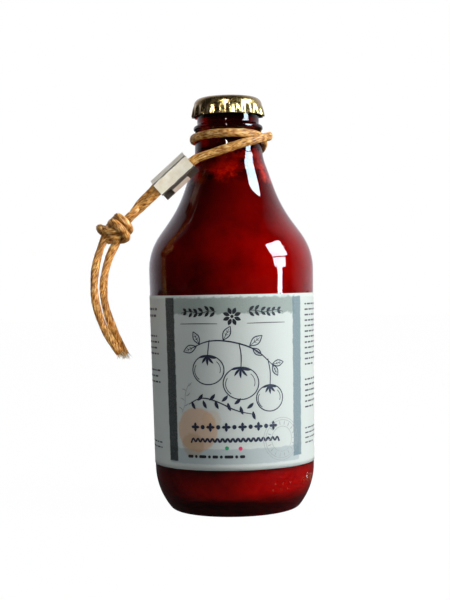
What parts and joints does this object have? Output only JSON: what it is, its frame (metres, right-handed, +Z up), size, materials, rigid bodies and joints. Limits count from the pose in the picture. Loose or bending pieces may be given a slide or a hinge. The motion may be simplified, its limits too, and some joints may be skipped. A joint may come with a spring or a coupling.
{
  "type": "glass bottle of tomato sauce",
  "caption": "Stubby amber glass bottle of tomato sauce with a fluted crown cap, a wrapped paper label and a knotted twine tag with a folded metal sleeve at its neck.",
  "frame": {"origin": "middle of the foot, at the level of the ring that the bottle stands on", "axes": "+Z up along the bottle's axis, -Y out of the front of the label, +X to the right of someone who faces the label; the twine tag hangs on the -X side"},
  "size_m": [0.0886, 0.0662, 0.1648],
  "materials": {
    "amber_glass": "glossy",
    "tomato_sauce": "wet",
    "gold_crown": "glossy gold lacquer",
    "label_paper": "matt, printed",
    "waxed_twine": "twisted, slightly waxed",
    "tag_metal": "satin, scuffed"
  },
  "bodies": {
    "root": {"bottle": "amber_glass", "sauce": "tomato_sauce", "crown_cap": "gold_crown", "label": "label_paper", "neck_loop": "waxed_twine", "tag_clip": "tag_metal", "lead_front": "waxed_twine", "lead_back": "waxed_twine", "knot": "waxed_twine", "tail_left": "waxed_twine", "tail_right": "waxed_twine"}
  },
  "joints": []
}
